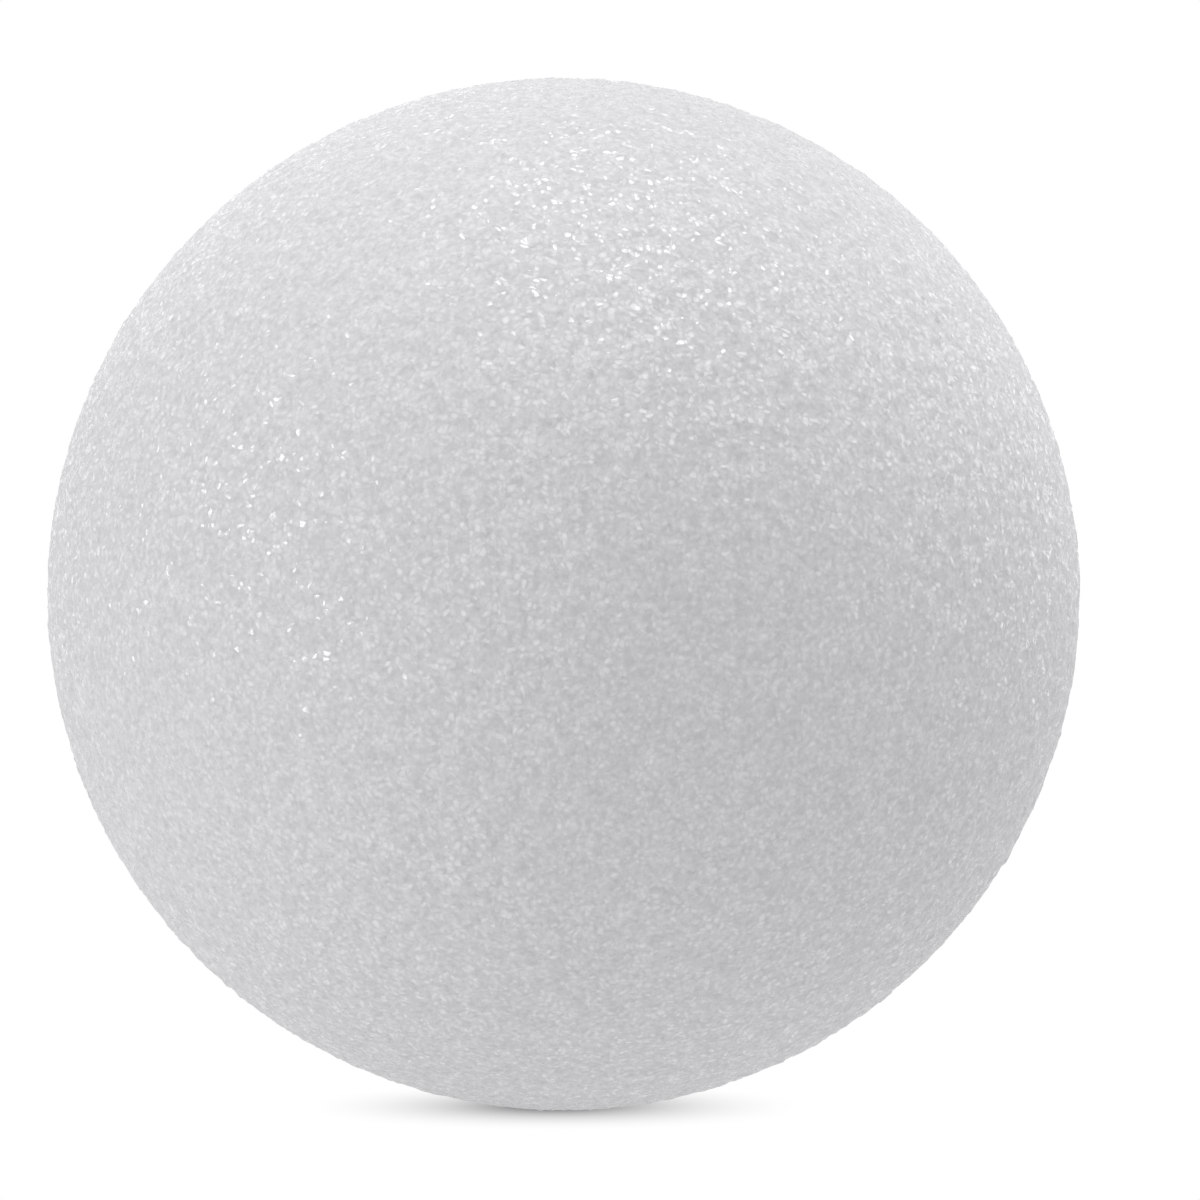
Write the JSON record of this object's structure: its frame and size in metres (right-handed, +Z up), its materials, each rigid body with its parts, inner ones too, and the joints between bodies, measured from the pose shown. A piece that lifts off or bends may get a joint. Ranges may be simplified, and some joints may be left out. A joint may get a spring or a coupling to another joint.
{
  "type": "polystyrene ball",
  "caption": "Solid round ball of fine-celled white polystyrene foam, a blank to paint, cover, pin into or push onto a stick.",
  "frame": {"origin": "centre of the ball", "axes": "+Z up, from the point that the ball stands on towards its top; X and Y are alike, and +Y points away from the viewer of the picture"},
  "size_m": [0.0712, 0.0712, 0.0712],
  "materials": {
    "polystyrene_foam": "bare fine-celled foam, matt with small glinting cells"
  },
  "bodies": {
    "root": {"foam_ball": "polystyrene_foam"}
  },
  "joints": []
}
